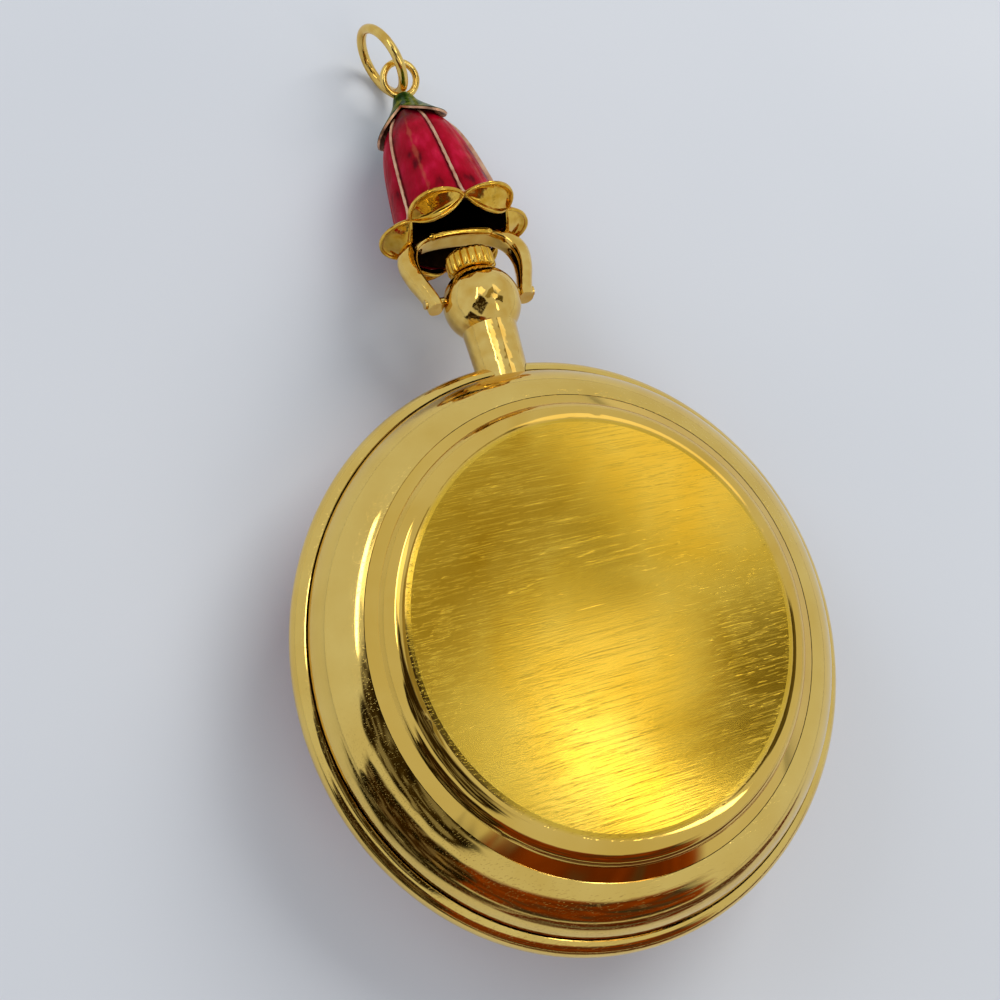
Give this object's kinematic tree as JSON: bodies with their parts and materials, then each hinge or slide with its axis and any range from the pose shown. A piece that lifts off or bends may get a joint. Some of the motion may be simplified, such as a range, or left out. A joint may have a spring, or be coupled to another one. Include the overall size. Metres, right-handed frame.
{
  "type": "pendant watch",
  "caption": "Round gold pendant watch lying face down, with a plain domed back, a ball neck with ribbed crown, and an enamelled bellflower fob on a swinging bow.",
  "frame": {"origin": "on the axis of the round case, in the plane of the surface that the bezel's rim rests on", "axes": "+Z out of the case back along the case's axis, +Y along the neck towards the flower, +X to the right when the back is seen with the neck up"},
  "size_m": [0.034, 0.0647, 0.0121],
  "materials": {
    "polished_gold": "polished gold plate",
    "yellow_gold": "gold-plated steel, finely scratched",
    "warm_gold": "polished warm gold plate",
    "rose_enamel": "fired translucent enamel",
    "leaf_enamel": "fired translucent enamel",
    "glass": "clear mineral glass",
    "seal_rubber": "matt",
    "dial_enamel": "cream lacquer",
    "hand_lacquer": "gloss black",
    "movement_brass": "satin brass",
    "movement_steel": "fine brushed",
    "copper_wire": "enamelled copper",
    "soft_iron": "pressed sheet",
    "holder_plastic": "moulded",
    "board": "laminate",
    "chip_resin": "moulded resin"
  },
  "bodies": {
    "case": {"case_band": "polished_gold", "back_ring": "polished_gold", "back_gasket": "seal_rubber", "case_back": "yellow_gold", "bezel": "polished_gold", "bezel_enamel": "rose_enamel", "crystal": "glass", "crystal_gasket": "seal_rubber", "dial": "dial_enamel", "dial_washer": "movement_brass", "main_plate": "movement_brass", "train_bridge": "movement_brass", "stator": "soft_iron", "coil_core": "soft_iron", "coil_winding": "copper_wire", "movement_screws": "movement_steel", "battery": "movement_steel", "battery_strap": "movement_steel", "circuit_board": "board", "timing_chip": "chip_resin", "quartz_can": "movement_steel", "detent_spring": "movement_steel", "movement_holder": "holder_plastic", "neck_tube": "warm_gold", "neck_ball": "warm_gold"},
    "flower": {"bow": "warm_gold", "bow_pins": "warm_gold", "bell": "warm_gold", "petal_enamel": "rose_enamel", "calyx": "warm_gold", "calyx_enamel": "leaf_enamel", "bell_post": "warm_gold", "eye_loop": "warm_gold"},
    "jump_ring": {"jump_ring": "warm_gold"},
    "crown_seal": {"crown_gasket": "seal_rubber"},
    "crown": {"crown": "warm_gold", "setting_stem": "movement_steel"},
    "setting_lever": {"setting_lever": "movement_steel"},
    "minute_hand": {"minute_hand": "hand_lacquer", "cannon_pinion": "movement_brass", "centre_wheel": "movement_brass"},
    "hour_hand": {"hour_hand": "hand_lacquer", "hour_wheel": "movement_brass"},
    "minute_wheel": {"minute_wheel": "movement_brass"},
    "third_wheel": {"third_wheel": "movement_brass"},
    "intermediate_wheel": {"intermediate_wheel": "movement_brass"},
    "rotor": {"rotor": "movement_steel"}
  },
  "joints": [
    {"name": "bow_swing", "type": "hinge", "parent": "case", "child": "flower", "pos_m": [0, 0.02231, 0.00655], "axis": [1, 0, 0], "range_deg": [-85, 121]},
    {"name": "jump_ring_swing", "type": "hinge", "parent": "flower", "child": "jump_ring", "pos_m": [0.00018, 0.04246, 0.00313], "axis": [-0.0793, -0.0361, 0.9962], "range_deg": [-100, 75]},
    {"name": "crown_pull", "type": "slide", "parent": "case", "child": "crown_seal", "axis": [0, 1, 0], "range_m": [0, 0.001]},
    {"name": "crown_turn", "type": "hinge", "parent": "crown_seal", "child": "crown", "pos_m": [0, 0.02412, 0.00665], "axis": [0, 1, 0], "continuous": true},
    {"name": "setting_lever_tilt", "type": "hinge", "parent": "case", "child": "setting_lever", "pos_m": [-0.0036, 0.0093, 0.0072], "axis": [0, 0, 1], "range_deg": [0, 15.9]},
    {"name": "minute_hand_turn", "type": "hinge", "parent": "case", "child": "minute_hand", "pos_m": [0, 0, 0.0038], "axis": [0, 0, 1], "continuous": true},
    {"name": "hour_hand_turn", "type": "hinge", "parent": "case", "child": "hour_hand", "pos_m": [0, 0, 0.0042], "axis": [0, 0, 1], "continuous": true},
    {"name": "minute_wheel_turn", "type": "hinge", "parent": "case", "child": "minute_wheel", "pos_m": [0, 0.00288, 0.0055], "axis": [0, 0, 1], "continuous": true},
    {"name": "third_wheel_turn", "type": "hinge", "parent": "case", "child": "third_wheel", "pos_m": [-0.00301, -0.00109, 0.007], "axis": [0, 0, 1], "continuous": true},
    {"name": "intermediate_wheel_turn", "type": "hinge", "parent": "case", "child": "intermediate_wheel", "pos_m": [-0.00399, -0.0038, 0.0075], "axis": [0, 0, 1], "continuous": true},
    {"name": "rotor_turn", "type": "hinge", "parent": "case", "child": "rotor", "pos_m": [-0.00662, -0.00476, 0.007], "axis": [0, 0, 1], "continuous": true}
  ],
  "couplings": [
    {"joint": "setting_lever_tilt", "follows": "crown_pull", "rad_per_m": 276.01},
    {"joint": "hour_hand_turn", "follows": "minute_hand_turn", "ratio": 0.083333},
    {"joint": "minute_wheel_turn", "follows": "minute_hand_turn", "ratio": -0.33333},
    {"joint": "third_wheel_turn", "follows": "minute_hand_turn", "ratio": -3},
    {"joint": "intermediate_wheel_turn", "follows": "minute_hand_turn", "ratio": 15},
    {"joint": "rotor_turn", "follows": "minute_hand_turn", "ratio": -90}
  ]
}
